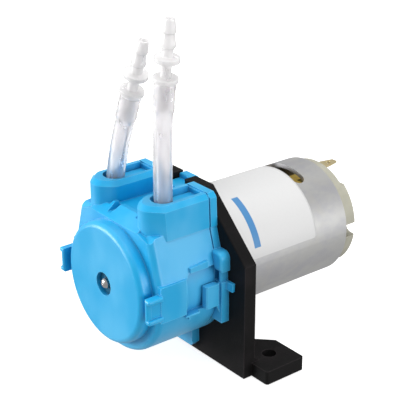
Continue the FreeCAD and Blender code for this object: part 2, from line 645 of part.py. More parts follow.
def pump_tube():
    """The pump tube inside the head: a flat loop round the raceway and two legs."""
    a = math.radians(RACE_LEAN)
    across = Vec(math.cos(a), 0, math.sin(a))
    section = Part.Face(stadium(leg_point(FLAT_LINE_R, 0), across, FLAT_W, FLAT_T))
    loop = section.revolve(Vec(0, 0, 0), Vec(0, 1, 0), 180 + 2 * RACE_LEAN)
    return loop.fuse([tube_leg(), mirrored(tube_leg())]).removeSplitter()


def smooth_path(points):
    """Straight runs joined by tangent arcs as large as the runs allow."""
    edges = []
    last = points[0]
    for before, corner, after in zip(points, points[1:], points[2:]):
        into = (corner - before).normalize()
        out = (after - corner).normalize()
        reach = 0.45 * min((corner - before).Length, (after - corner).Length)
        turn = math.acos(max(-1.0, min(1.0, into.dot(out))))
        radius = reach / math.tan(turn / 2)
        start, end = corner - into * reach, corner + out * reach
        inward = (out - into).normalize()
        middle = corner + inward * (radius / math.cos(turn / 2) - radius)
        edges += [Part.makeLine(last, start), Part.Arc(start, middle, end).toShape()]
        print("hose bend radius", round(radius, 1))
        last = end
    edges.append(Part.makeLine(last, points[-1]))
    return Part.Wire(edges)


def hose_points(route):
    """The middle line of a hose end, from its cut inside the housing to the fitting."""
    side = 1 if route is RIGHT_ROUTE else -1
    foot = leg_point(ROUND_LINE_R, LEG_END_S)
    start = Vec(side * foot.x, TUBE_Y, foot.z)
    return [start] + [Vec(x, TUBE_Y, z) for x, z in route]


def hose_end(route):
    """A free hose end, swollen over the fitting's barb."""
    points = hose_points(route)
    path = smooth_path(points)
    first = (points[1] - points[0]).normalize()
    outside = Part.Wire(Part.makeCircle(TUBE_R, points[0], first))
    inside = Part.Wire(Part.makeCircle(BORE_R, points[0], first))
    hose = path.makePipeShell([outside], True, False)
    bore = path.makePipeShell([inside], True, False)
    end = points[-1]
    back = (points[-2] - end).normalize()
    swell = Part.makeCylinder(2.25, 4.6, end, back)
    swell = swell.fuse(Part.makeCone(2.25, 1.8, 2.7, end + back * 4.6, back))
    socket = Part.makeCylinder(1.4, 6.6, end, back)
    hose = hose.fuse(swell).cut(bore).cut(socket)
    length = path.Length
    print("hose length", round(length, 2), "volume", round(hose.Volume, 1), "valid", hose.isValid())
    return hose.removeSplitter()


# Profile of a hose fitting as (radius, distance from the hose's end face) points
FITTING = [(0.0, -6.3), (1.05, -6.3), (1.35, -5.0), (1.1, -4.9), (1.35, -3.2), (1.1, -3.1), (1.1, 0.0),
           (2.65, 0.0), (2.65, 1.0), (1.08, 1.1), (1.08, 4.2), (2.68, 4.3), (2.68, 5.3), (1.2, 5.4),
           (1.2, 7.2), (1.6, 7.4), (1.6, 8.2), (1.15, 10.2), (1.45, 10.4), (1.45, 10.9), (1.1, 13.2),
           (0.0, 13.2)]


def fitting(route):
    """A barbed hose fitting with two flanges and a through bore."""
    end = hose_points(route)[-1]
    before = hose_points(route)[-2]
    ahead = (end - before).normalize()
    wire = Part.makePolygon([Vec(r, 0, s) for r, s in FITTING + FITTING[:1]])
    body = Part.Face(wire).revolve(Vec(0, 0, 0), Vec(0, 0, 1), 360)
    body = body.cut(Part.makeCylinder(0.6, 30, Vec(0, 0, -10)))
    body.Placement = FreeCAD.Placement(end, FreeCAD.Rotation(Vec(0, 0, 1), ahead))
    return body


def main():
    """Builds every piece and writes one STEP file for each."""
    os.makedirs("parts", exist_ok=True)
    pieces = {
        "front_housing": front_housing(),
        "shaft_bush": shaft_bush(),
        "rear_housing": rear_housing(),
        "mounting_bracket": mounting_bracket(),
        "motor_can": motor_can(),
        "motor_front_bush": sintered_bush((21.4, 26.4)),
        "magnet_right": magnet(),
        "magnet_left": mirrored(magnet()),
        "end_bell": end_bell(),
        "end_bell_bush": sintered_bush((60.0, 64.0)),
        "terminal_upper": terminal(),
        "terminal_lower": lower(terminal()),
        "brush_arm_upper": brush_arm(),
        "brush_arm_lower": lower(brush_arm()),
        "brush_upper": carbon_brush(),
        "brush_lower": lower(carbon_brush()),
        "motor_label": motor_label(),
        "motor_screws": motor_screws(),
        "motor_shaft": motor_shaft(),
        "drive_sleeve": drive_sleeve(),
        "armature_core": armature_core(),
        "armature_windings": armature_windings(),
        "commutator": commutator(),
        "rotor_front_plate": rotor_front_plate(),
        "rotor_rear_plate": rotor_rear_plate(),
        "rotor_washer": rotor_washer(),
        "pump_tube": pump_tube(),
        "hose_end_right": hose_end(RIGHT_ROUTE),
        "hose_end_left": hose_end(LEFT_ROUTE),
        "fitting_right": fitting(RIGHT_ROUTE),
        "fitting_left": fitting(LEFT_ROUTE),
    }
    for index in range(3):
        pieces[f"roller_pin_{index + 1}"] = roller_pin(index)
        pieces[f"roller_{index + 1}"] = roller(index)
    for name, shape in pieces.items():
        shape.translate(Vec(0, -FOOT_HOLE_Y, SHAFT_Z))
        shape.exportStep(f"parts/{name}.step")
        print(name, "solids", len(shape.Solids), "valid", shape.isValid(), "volume", round(shape.Volume, 1))


main()
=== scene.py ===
"""The peristaltic pump's looks: finishes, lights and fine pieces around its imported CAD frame.

Lengths are metres in the pump's own frame, or millimetres where a docstring says so. The origin
lies on the base plane, midway between the two foot holes, +X is to the right seen from the pump
head, +Y runs back to the motor, +Z is up.
"""

import logging
import math
from collections.abc import Callable, Iterable, Sequence
from dataclasses import dataclass, field

import bmesh
import bpy
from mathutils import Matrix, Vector


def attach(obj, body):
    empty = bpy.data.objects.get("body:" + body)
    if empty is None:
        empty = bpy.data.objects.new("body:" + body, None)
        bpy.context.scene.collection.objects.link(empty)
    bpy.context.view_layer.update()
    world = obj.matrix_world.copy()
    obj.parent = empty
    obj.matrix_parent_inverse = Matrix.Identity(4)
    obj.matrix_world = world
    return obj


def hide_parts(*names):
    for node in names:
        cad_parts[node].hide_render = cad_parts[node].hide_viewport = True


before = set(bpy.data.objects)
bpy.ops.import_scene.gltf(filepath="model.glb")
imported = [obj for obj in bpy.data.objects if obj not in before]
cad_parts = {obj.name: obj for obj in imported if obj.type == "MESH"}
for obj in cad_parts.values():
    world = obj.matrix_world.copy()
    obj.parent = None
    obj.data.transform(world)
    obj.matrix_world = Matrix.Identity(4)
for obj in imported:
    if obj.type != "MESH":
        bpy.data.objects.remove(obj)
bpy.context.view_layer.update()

LOG = logging.getLogger("pump")
MM = 0.001
SHAFT = Vector((0.0, 0.0, 20.6 * MM))
TUBE_Y = -18.6 * MM
WHITE = (1.0, 1.0, 1.0)
SHARP_EDGE = 32.0   # degrees; a blunter edge isn't rounded
WELD_REACH = 0.002  # millimetres

# The hoses' middle lines as (x, z) in millimetres, from the cut in the tower to the fitting
RIGHT_ROUTE = ((10.3187, 30.972), (8.76, 38.3), (8.78, 45.1), (8.86, 51.8), (9.1, 59.1), (10.07, 66.05))
LEFT_ROUTE = ((-10.3187, 30.972), (-8.55, 39.3), (-6.65, 47.2), (-4.25, 53.8), (-1.6, 60.6))
RIGHT_LENGTH = 0.0352
LEFT_LENGTH = 0.0309


# ---------------------------------------------------------------- shader building


class Value:
    """A shader value: a node's output socket that arithmetic can be done on."""

    def __init__(self, shader: "Shader", socket: bpy.types.NodeSocket) -> None:
        """Keeps the socket and the shader that it belongs to."""
        self.shader = shader
        self.socket = socket

    def __add__(self, other: "Value | float") -> "Value":
        """Returns self + other."""
        return self.shader.maths("ADD", self, other)

    def __radd__(self, other: float) -> "Value":
        """Returns other + self."""
        return self.shader.maths("ADD", other, self)

    def __sub__(self, other: "Value | float") -> "Value":
        """Returns self - other."""
        return self.shader.maths("SUBTRACT", self, other)

    def __rsub__(self, other: float) -> "Value":
        """Returns other - self."""
        return self.shader.maths("SUBTRACT", other, self)

    def __mul__(self, other: "Value | float") -> "Value":
        """Returns self * other."""
        return self.shader.maths("MULTIPLY", self, other)

    def __rmul__(self, other: float) -> "Value":
        """Returns other * self."""
        return self.shader.maths("MULTIPLY", other, self)


Colour = tuple[float, float, float]


class Shader:
    """A material under construction, whose surface is one Principled shader."""

    def __init__(self, name: str) -> None:
        """Starts an empty material.

        Args:
            name: The material's name.
        """
        self.material = bpy.data.materials.new(name)
        self.material.use_nodes = True
        self.tree = self.material.node_tree
        self.tree.nodes.clear()
        self.surface = self.tree.nodes.new("ShaderNodeBsdfPrincipled")
        output = self.tree.nodes.new("ShaderNodeOutputMaterial")
        self.tree.links.new(self.surface.outputs["BSDF"], output.inputs["Surface"])
        where = self.node("ShaderNodeTexCoord", {}, {}).outputs["Object"]
        scaled = self.node("ShaderNodeVectorMath", {"operation": "SCALE"}, {0: where, "Scale": 1.0 / MM})
        self.place = scaled.outputs["Vector"]

    def node(self, kind: str, settings: dict, inputs: dict) -> bpy.types.Node:
        """Adds one node.

        Args:
            kind: The node's type.
            settings: Its own settings, set first.
            inputs: The value or the link of each socket, by name or number.

        Returns:
            The new node.
        """
        made = self.tree.nodes.new(kind)
        for name, setting in settings.items():
            setattr(made, name, setting)
        for key, given in inputs.items():
            given = given.socket if isinstance(given, Value) else given
            if isinstance(given, bpy.types.NodeSocket):
                self.tree.links.new(given, made.inputs[key])
            else:
                made.inputs[key].default_value = given
        return made

    def maths(self, operation: str, first: "Value | float", second: "Value | float") -> Value:
        """Returns the result of one Math node."""
        made = self.node("ShaderNodeMath", {"operation": operation}, {0: first, 1: second})
        return Value(self, made.outputs[0])

    def part(self, index: int) -> Value:
        """Returns one coordinate of the place on the surface, in millimetres."""
        return Value(self, self.node("ShaderNodeSeparateXYZ", {}, {0: self.place}).outputs[index])

    def stretched(self, sizes: Sequence[float]) -> bpy.types.NodeSocket:
        """Returns the place with each coordinate divided by a feature size in millimetres."""
        factors = tuple(1.0 / size for size in sizes)
        made = self.node("ShaderNodeVectorMath", {"operation": "MULTIPLY"}, {0: self.place, 1: factors})
        return made.outputs["Vector"]

    def noise(self, size: float | Sequence[float], detail: float = 3.0, roughness: float = 0.5) -> Value:
        """Returns soft noise from 0 to 1.

        Args:
            size: The features' size in millimetres, or one size for each axis.
            detail: The number of finer layers.
            roughness: How strong the finer layers are.

        Returns:
            The noise value.
        """
        sizes = (size, size, size) if isinstance(size, (int, float)) else size
        made = self.node(
            "ShaderNodeTexNoise",
            {},
            {"Vector": self.stretched(sizes), "Scale": 1.0, "Detail": detail, "Roughness": roughness},
        )
        return Value(self, made.outputs["Fac"])

    def cells(self, size: float) -> Value:
        """Returns the distance to the nearest of many scattered points, for grain and pitting."""
        made = self.node("ShaderNodeTexVoronoi", {}, {"Vector": self.stretched((size,) * 3), "Scale": 1.0})
        return Value(self, made.outputs["Distance"])

    def spread(
        self, value: Value, low: float, high: float, to_low: float = 0.0, to_high: float = 1.0
    ) -> Value:
        """Returns the value mapped smoothly from low..high to to_low..to_high, and kept there."""
        made = self.node(
            "ShaderNodeMapRange",
            {"interpolation_type": "SMOOTHSTEP"},
            {"Value": value, "From Min": low, "From Max": high, "To Min": to_low, "To Max": to_high},
        )
        return Value(self, made.outputs["Result"])

    def between(self, value: Value, limits: tuple[float, float], blur: float = 0.05) -> Value:
        """Returns a mask that is 1 between two limits and fades out over the blur on both sides."""
        low, high = limits
        rising = self.spread(value, low - blur, low + blur)
        return rising * self.spread(value, high - blur, high + blur, 1.0, 0.0)

    def edges(self, radius: float) -> Value:
        """Returns a mask that is 1 on sharp edges and 0 on flat ground.

        Args:
            radius: The width of an edge in millimetres.

        Returns:
            The mask.
        """
        soft = self.node("ShaderNodeBevel", {"samples": 4}, {"Radius": radius * MM}).outputs["Normal"]
        hard = self.node("ShaderNodeNewGeometry", {}, {}).outputs["Normal"]
        made = self.node("ShaderNodeVectorMath", {"operation": "DOT_PRODUCT"}, {0: soft, 1: hard})
        return self.spread(1.0 - Value(self, made.outputs["Value"]), 0.01, 0.22)

    def hollows(self, reach: float) -> Value:
        """Returns a mask that is 1 in tight corners and 0 on open ground.

        Args:
            reach: How far from a corner it is felt, in millimetres.

        Returns:
            The mask.
        """
        made = self.node("ShaderNodeAmbientOcclusion", {"samples": 6}, {"Distance": reach * MM})
        return 1.0 - Value(self, made.outputs["AO"])

    def mix(self, factor: Value, low: "Colour | bpy.types.NodeSocket", high: Colour) -> bpy.types.NodeSocket:
        """Returns a colour between two colours."""
        low = low if isinstance(low, bpy.types.NodeSocket) else (*low, 1.0)
        made = self.node("ShaderNodeMix", {"data_type": "RGBA"}, {0: factor, 6: low, 7: (*high, 1.0)})
        return made.outputs[2]

    def bump(self, height: Value, depth: float, strength: float = 1.0) -> bpy.types.NodeSocket:
        """Returns a normal for a height map.

        Args:
            height: The height, from 0 to 1.
            depth: The height of a full step in millimetres.
            strength: How much of the effect is used.

        Returns:
            The normal's socket.
        """
        inputs = {"Height": height, "Distance": depth * MM, "Strength": strength}
        return self.node("ShaderNodeBump", {}, inputs).outputs["Normal"]

    def finish(self, **sockets: object) -> bpy.types.Material:
        """Sets the Principled shader's sockets and returns the material.

        Args:
            sockets: A constant or a link for each socket, its name in lower case with underscores.

        Returns:
            The finished material.
        """
        names = {socket.name.lower().replace(" ", "_"): socket for socket in self.surface.inputs}
        for key, given in sockets.items():
            given = given.socket if isinstance(given, Value) else given
            target = names[key]
            if isinstance(given, bpy.types.NodeSocket):
                self.tree.links.new(given, target)
            elif isinstance(given, tuple) and target.type == "RGBA":
                target.default_value = (*given, 1.0)
            else:
                target.default_value = given
        return self.material


# ---------------------------------------------------------------- finishes


@dataclass(frozen=True)
class HeadPlastic:
    """The pump head's sky-blue plastic: satin and slightly milky, with painted shade darkening its corners
    and a painted highlight on its edges.
    """

    base: Colour = (0.000, 0.385, 0.735)
    # painted shade: the darker blue that corners and recesses are painted towards
    painted_corner_shade: Colour = (0.000, 0.190, 0.470)
    # pale: the lighter tone of the plastic's flow marks, also used as a painted highlight on sharp edges
    pale: Colour = (0.150, 0.580, 0.900)

    def make(self) -> bpy.types.Material:
        """Returns the material."""
        shader = Shader("head_plastic")
        flow = shader.noise((9.0, 9.0, 14.0), 2.0)
        colour = shader.mix(shader.spread(flow, 0.35, 0.7, 0.0, 0.35), self.base, self.pale)
        # painted shade: tight corners and recesses are darkened towards the darker blue
        colour = shader.mix(shader.spread(shader.hollows(3.0), 0.22, 0.85, 0.0, 0.9), colour, self.painted_corner_shade)
        # painted highlight: sharp edges are lightened towards the pale blue
        colour = shader.mix(shader.edges(0.35) * 0.75, colour, self.pale)
        grain = shader.noise(0.22, 2.0, 0.6)
        ripple = shader.noise(5.0, 1.0)
        return shader.finish(
            base_color=colour,
            roughness=shader.spread(grain + flow, 0.7, 1.3, 0.34, 0.46),
            normal=shader.bump(grain * 0.35 + ripple, 0.05, 0.6),
            specular_ior_level=0.50,
            coat_weight=0.20,
            coat_roughness=0.30,
            sheen_weight=0.05,
            sheen_roughness=0.5,
            subsurface_weight=0.10,
            subsurface_radius=(0.25, 0.8, 1.0),
            subsurface_scale=0.8 * MM,
        )


@dataclass(frozen=True)
class BracketPlastic:
    """The bracket's black glass-filled plastic, with a spark-eroded texture and paler edges."""

    base: Colour = (0.0060, 0.0058, 0.0060)
    worn: Colour = (0.042, 0.035, 0.038)

    def make(self) -> bpy.types.Material:
        """Returns the material."""
        shader = Shader("bracket_plastic")
        grain = shader.noise(0.16, 3.0, 0.7)
        cloud = shader.noise(7.0, 2.0)
        colour = shader.mix(shader.edges(0.30) * 0.85, self.base, self.worn)
        colour = shader.mix(shader.spread(cloud, 0.45, 0.8, 0.0, 0.22), colour, self.worn)
        return shader.finish(
            base_color=colour,
            roughness=shader.spread(grain + cloud, 0.7, 1.3, 0.55, 0.72),
            normal=shader.bump(grain, 0.045, 0.8),
            specular_ior_level=0.13,
        )


@dataclass(frozen=True)
class BellPlastic:
    """The motor end bell's ivory plastic, faintly speckled and a little translucent."""

    base: Colour = (0.46, 0.45, 0.37)
    speck: Colour = (0.35, 0.34, 0.27)

    def make(self) -> bpy.types.Material:
        """Returns the material."""
        shader = Shader("bell_plastic")
        specks = shader.spread(shader.cells(0.5), 0.10, 0.22, 1.0, 0.0)
        cloud = shader.noise(3.0, 3.0)
        colour = shader.mix(shader.spread(cloud, 0.3, 0.8, 0.0, 0.5), self.base, self.speck)
        colour = shader.mix(specks * 0.35, colour, self.speck)
        return shader.finish(
            base_color=colour,
            roughness=shader.spread(cloud, 0.3, 0.7, 0.42, 0.56),
            normal=shader.bump(shader.noise(0.3, 2.0), 0.03, 0.5),
            subsurface_weight=0.15,
            subsurface_radius=(1.0, 0.9, 0.6),
            subsurface_scale=0.6 * MM,
        )


@dataclass(frozen=True)
class Acetal:
    """Turned or moulded white acetal, with fine rings about the pump's axis."""

    name: str = "acetal"
    base: Colour = (0.80, 0.80, 0.77)
    shade: Colour = (0.62, 0.62, 0.58)

    def make(self) -> bpy.types.Material:
        """Returns the material."""
        shader = Shader(self.name)
        rings = shader.noise((40.0, 0.18, 40.0), 2.0, 0.6)
        cloud = shader.noise(2.5, 2.0)
        colour = shader.mix(shader.spread(cloud, 0.4, 0.8, 0.0, 0.6), self.base, self.shade)
        return shader.finish(
            base_color=colour,
            roughness=shader.spread(rings, 0.3, 0.7, 0.26, 0.40),
            normal=shader.bump(rings, 0.02, 0.5),
            subsurface_weight=0.2,
            subsurface_radius=(1.0, 1.0, 0.9),
            subsurface_scale=0.8 * MM,
        )


@dataclass(frozen=True)
class PlatedCan:
    """The motor can's drawn and plated steel: satin, with draw lines, cloudy plating and painted shade in
    its hollows.
    """

    base: Colour = (0.60, 0.60, 0.59)
    cloud: Colour = (0.54, 0.54, 0.56)
    warm: Colour = (0.59, 0.58, 0.555)
    # painted shade: the dark brown that the can's hollows, such as the brush window's walls, are darkened
    # towards
    inside: Colour = (0.07, 0.045, 0.03)

    def make(self) -> bpy.types.Material:
        """Returns the material."""
        shader = Shader("plated_can")
        lines = shader.noise((0.35, 16.0, 0.35), 3.0, 0.6)
        plating = shader.noise((4.0, 7.0, 4.0), 3.0, 0.6)
        fine = shader.noise(0.30, 2.0, 0.7)
        colour = shader.mix(shader.spread(plating, 0.38, 0.66), self.base, self.cloud)
        colour = shader.mix(shader.spread(shader.noise(5.5, 2.0), 0.5, 0.75, 0.0, 0.7), colour, self.warm)
        # painted shade: hollows and tight corners are darkened towards the inside colour
        colour = shader.mix(shader.spread(shader.hollows(1.6), 0.35, 0.75, 0.0, 0.9), colour, self.inside)
        rough = shader.spread(plating + fine * 0.5, 0.5, 1.0, 0.46, 0.56)
        return shader.finish(
            base_color=colour,
            metallic=0.78,
            roughness=rough,
            normal=shader.bump(lines + fine * 0.6, 0.012, 0.6),
        )


@dataclass(frozen=True)
class LabelFilm:
    """The motor's blank label: satin white film with one short plain bar, placed in millimetres."""

    base: Colour = (0.70, 0.70, 0.70)
    shade: Colour = (0.60, 0.60, 0.62)
    bar: Colour = (0.00, 0.20, 0.50)
    bar_y: tuple[float, float] = (2.6, 4.4)
    bar_z: tuple[float, float] = (24.6, 33.6)

    def make(self) -> bpy.types.Material:
        """Returns the material."""
        shader = Shader("label_film")
        inside = shader.between(shader.part(1), self.bar_y) * shader.between(shader.part(2), self.bar_z)
        inside = inside * shader.spread(shader.part(0), 0.0, 0.1)
        fibre = shader.noise(0.6, 3.0, 0.6)
        colour = shader.mix(shader.spread(fibre, 0.4, 0.8, 0.0, 0.10), self.base, self.shade)
        colour = shader.mix(inside * 0.9, colour, self.bar)
        return shader.finish(
            base_color=colour,
            roughness=shader.spread(fibre, 0.3, 0.7, 0.30, 0.42),
            normal=shader.bump(fibre + shader.noise(6.0, 1.0), 0.02, 0.5),
            coat_weight=0.25,
            coat_roughness=0.2,
        )


@dataclass(frozen=True)
class Metal:
    """A bare metal with fine tool marks along the shaft, some tarnish and, if asked, a faint glow of painted
    light.
    """

    name: str
    base: Colour
    tarnish: Colour
    roughness: tuple[float, float] = (0.18, 0.32)
    marks: tuple[float, float, float] = (0.12, 8.0, 0.12)
    tarnish_size: float = 1.5
    glow: float = 0.0

    def make(self) -> bpy.types.Material:
        """Returns the material."""
        shader = Shader(self.name)
        marks = shader.noise(self.marks, 3.0, 0.6)
        stain = shader.noise(self.tarnish_size, 3.0, 0.6)
        colour = shader.mix(shader.spread(stain, 0.45, 0.75, 0.0, 0.8), self.base, self.tarnish)
        low, high = self.roughness
        return shader.finish(
            base_color=colour,
            emission_color=self.base,
            emission_strength=self.glow,
            metallic=1.0,
            roughness=shader.spread(marks + stain, 0.7, 1.3, low, high),
            normal=shader.bump(marks, 0.01, 0.5),
        )


@dataclass(frozen=True)
class WoundCopper:
    """Enamelled wire laid side by side along the slots."""

    base: Colour = (0.52, 0.17, 0.06)
    lit: Colour = (0.86, 0.42, 0.18)
    wire: float = 0.35

    def make(self) -> bpy.types.Material:
        """Returns the material."""
        shader = Shader("wound_copper")
        turns = shader.maths("SINE", (shader.part(0) + shader.part(2)) * (math.tau / self.wire), 0.0)
        height = shader.spread(turns, -1.0, 1.0)
        return shader.finish(
            base_color=shader.mix(height, self.base, self.lit),
            metallic=0.85,
            roughness=shader.spread(shader.noise(0.8), 0.3, 0.7, 0.22, 0.36),
            normal=shader.bump(height, 0.08, 0.9),
            coat_weight=0.6,
            coat_roughness=0.12,
        )


@dataclass(frozen=True)
class StackedSteel:
    """Thin steel sheets stacked along the shaft."""

    base: Colour = (0.30, 0.31, 0.33)
    gap: Colour = (0.07, 0.07, 0.08)
    sheet: float = 0.5

    def make(self) -> bpy.types.Material:
        """Returns the material."""
        shader = Shader("stacked_steel")
        wave = shader.maths("SINE", shader.part(1) * (math.tau / self.sheet), 0.0)
        seam = shader.spread(wave, 0.80, 0.98)
        colour = shader.mix(seam, self.base, self.gap)
        return shader.finish(
            base_color=colour,
            metallic=0.9,
            roughness=shader.spread(shader.noise(0.7, 3.0), 0.3, 0.7, 0.36, 0.5),
            normal=shader.bump(1.0 - seam, 0.04, 0.8),
        )


@dataclass(frozen=True)
class Pressed:
    """A pressed and fired powder, such as ferrite or carbon."""

    name: str
    base: Colour
    fleck: Colour
    roughness: tuple[float, float] = (0.5, 0.7)

    def make(self) -> bpy.types.Material:
        """Returns the material."""
        shader = Shader(self.name)
        flecks = shader.spread(shader.cells(0.25), 0.05, 0.3, 1.0, 0.0)
        low, high = self.roughness
        return shader.finish(
            base_color=shader.mix(flecks * 0.6, self.base, self.fleck),
            roughness=shader.spread(shader.noise(0.5, 3.0), 0.3, 0.7, low, high),
            normal=shader.bump(shader.noise(0.2, 3.0), 0.03, 0.7),
        )


@dataclass(frozen=True)
class SoftTube:
    """Clear soft tube: milky, glossy and slightly uneven, with a painted reflection of the blue head low
    down, fading out between two heights in millimetres, and if asked a faint painted glow.
    """

    name: str = "soft_tube"
    base: Colour = (0.93, 0.92, 0.93)
    milk: Colour = (0.84, 0.82, 0.84)
    clear: float = 0.75
    glow: float = 0.0
    # painted reflection: the blue of the head, seen in and through the tube, painted on its lower part
    painted_head_reflection: Colour = (0.52, 0.74, 0.95)
    painted_reflection_heights: tuple[float, float] = (38.0, 50.0)

    def make(self) -> bpy.types.Material:
        """Returns the material."""
        shader = Shader(self.name)
        cloud = shader.noise((1.8, 1.8, 6.0), 3.0)
        colour = shader.mix(shader.spread(cloud, 0.4, 0.75), self.base, self.milk)
        low = shader.spread(shader.part(2), *self.painted_reflection_heights, 1.0, 0.0)
        reflection_streaks = shader.spread(shader.noise((0.9, 0.9, 9.0), 2.0), 0.35, 0.6, 0.25, 0.75)
        return shader.finish(
            # painted reflection: the tube's lower part is streaked with the head's blue
            base_color=shader.mix(low * reflection_streaks, colour, self.painted_head_reflection),
            roughness=shader.spread(cloud, 0.3, 0.8, 0.16, 0.30),
            normal=shader.bump(shader.noise((1.2, 1.2, 5.0), 2.0), 0.05, 0.5),
            transmission_weight=self.clear,
            ior=1.42,
            emission_color=(1.0, 0.99, 1.0),
            emission_strength=self.glow,
            subsurface_weight=0.25,
            subsurface_radius=WHITE,
            subsurface_scale=0.8 * MM,
        )


@dataclass(frozen=True)
class PaleFloor:
    """The studio's pale floor, which glows to a plain white."""

    base: Colour = (0.62, 0.62, 0.62)
    glow: float = 0.80

    def make(self) -> bpy.types.Material:
        """Returns the material."""
        shader = Shader("pale_floor")
        return shader.finish(
            base_color=self.base,
            roughness=0.7,
            emission_color=WHITE,
            emission_strength=self.glow,
        )


def made_by(make: Callable[[], bpy.types.Material]) -> bpy.types.Material:
    """Returns a dataclass field that the call fills, typed as the material that it comes to hold."""
    return field(default_factory=make)


@dataclass
class Finishes:
    """Every finish of the pump, each made once."""

    head: bpy.types.Material = made_by(HeadPlastic().make)
    bracket: bpy.types.Material = made_by(BracketPlastic().make)
    bell: bpy.types.Material = made_by(BellPlastic().make)
    acetal: bpy.types.Material = made_by(Acetal().make)
    carrier: bpy.types.Material = made_by(
        Acetal("carrier_plastic", base=(0.60, 0.60, 0.57), shade=(0.47, 0.47, 0.44)).make
    )
    can: bpy.types.Material = made_by(PlatedCan().make)
    label: bpy.types.Material = made_by(LabelFilm().make)
    steel: bpy.types.Material = made_by(
        Metal("ground_steel", base=(0.62, 0.61, 0.60), tarnish=(0.45, 0.44, 0.43)).make
    )
    brass: bpy.types.Material = made_by(
        Metal(
            "terminal_brass",
            base=(0.95, 0.82, 0.48),
            tarnish=(0.85, 0.66, 0.32),
            roughness=(0.3, 0.45),
        ).make
    )
    spring: bpy.types.Material = made_by(
        Metal(
            "spring_brass",
            base=(0.85, 0.62, 0.16),
            tarnish=(0.55, 0.36, 0.10),
            roughness=(0.25, 0.4),
            # painted light: the brush arms glow faintly so that they show as lit brass inside the dark brush
            # window
            glow=0.30,
        ).make
    )
    bronze: bpy.types.Material = made_by(
        Metal(
            "sintered_bronze",
            base=(0.50, 0.33, 0.16),
            tarnish=(0.30, 0.20, 0.11),
            roughness=(0.4, 0.55),
        ).make
    )
    bars: bpy.types.Material = made_by(
        Metal("commutator_copper", base=(0.80, 0.40, 0.22), tarnish=(0.45, 0.20, 0.12)).make
    )
    copper: bpy.types.Material = made_by(WoundCopper().make)
    laminations: bpy.types.Material = made_by(StackedSteel().make)
    ferrite: bpy.types.Material = made_by(
        Pressed("ferrite", base=(0.030, 0.030, 0.034), fleck=(0.09, 0.09, 0.10)).make
    )
    carbon: bpy.types.Material = made_by(
        Pressed("carbon", base=(0.02, 0.02, 0.02), fleck=(0.10, 0.06, 0.05)).make
    )
    bush: bpy.types.Material = made_by(
        Pressed("bush_plastic", base=(0.0, 0.10, 0.19), fleck=(0.0, 0.15, 0.27), roughness=(0.3, 0.45)).make
    )
    tube: bpy.types.Material = made_by(SoftTube().make)
    fitting: bpy.types.Material = made_by(
        SoftTube(
            "fitting_plastic",
            base=(0.93, 0.92, 0.92),
            milk=(0.84, 0.83, 0.84),
            clear=0.35,
            # painted light: the fittings glow faintly in place of light shining through their milky plastic
            glow=0.05,
        ).make
    )


# ---------------------------------------------------------------- mesh tools


def new_piece(name: str, mesh: bmesh.types.BMesh, material: bpy.types.Material) -> bpy.types.Object:
    """Makes an object of a mesh, smooth-shaded, and lets it ride on the base.

    Args:
        name: The piece's name.
        mesh: Its mesh, which is freed.
        material: Its finish.

    Returns:
        The new object.
    """
    bmesh.ops.recalc_face_normals(mesh, faces=mesh.faces)
    data = bpy.data.meshes.new(name)
    mesh.to_mesh(data)
    mesh.free()
    for polygon in data.polygons:
        polygon.use_smooth = True
    data.materials.append(material)
    piece = bpy.data.objects.new(name, data)
    bpy.context.scene.collection.objects.link(piece)
    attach(piece, "base")
    return piece


def round_edges(piece: bpy.types.Object, width: float, segments: int) -> None:
    """Rounds a piece's sharp edges with real geometry.

    Args:
        piece: The object.
        width: The rounding's width in millimetres.
        segments: The number of faces across it.
    """
    weld = piece.modifiers.new("weld", "WELD")
    weld.merge_threshold = WELD_REACH * MM
    bevel = piece.modifiers.new("rounding", "BEVEL")
    bevel.width = width * MM
    bevel.segments = segments
    bevel.limit_method = "ANGLE"
    bevel.angle_limit = math.radians(SHARP_EDGE)
    bevel.use_clamp_overlap = True
    bevel.harden_normals = False
    smooth = piece.modifiers.new("normals", "WEIGHTED_NORMAL")
    smooth.keep_sharp = False
    smooth.weight = 80


def dress(node: str, material: bpy.types.Material, width: float = 0.0, segments: int = 2) -> None:
    """Gives a CAD node its finish and, if asked, rounded edges.

    Args:
        node: The node's name.
        material: Its finish.
        width: The rounding's width in millimetres, or 0 for none.
        segments: The number of faces across the rounding.
    """
    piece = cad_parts[node]
    piece.data.materials.clear()
    piece.data.materials.append(material)
    if width:
        round_edges(piece, width, segments)
    LOG.info("dressed %s in %s", node, material.name)


def ring_points(centre: Vector, along: Vector, radius: float, count: int) -> list[Vector]:
    """Returns the points of a ring about a line."""
    side = along.cross(Vector((0.0, 1.0, 0.0))).normalized()
    other = along.cross(side).normalized()
    turns = [math.tau * step / count for step in range(count)]
    return [centre + side * (radius * math.cos(a)) + other * (radius * math.sin(a)) for a in turns]


def skin(rings: Sequence[Sequence[Vector]], closed: bool) -> bmesh.types.BMesh:
    """Returns a mesh whose faces join each ring of points to the next.

    Args:
        rings: Rings of the same number of points.
        closed: Whether the last ring joins the first one.

    Returns:
        The mesh.
    """
    mesh = bmesh.new()
    made = [[mesh.verts.new(point) for point in ring] for ring in rings]
    pairs = list(zip(made, made[1:])) + ([(made[-1], made[0])] if closed else [])
    for low, high in pairs:
        for index in range(len(low)):
            after = (index + 1) % len(low)
            mesh.faces.new((low[index], low[after], high[after], high[index]))
    return mesh


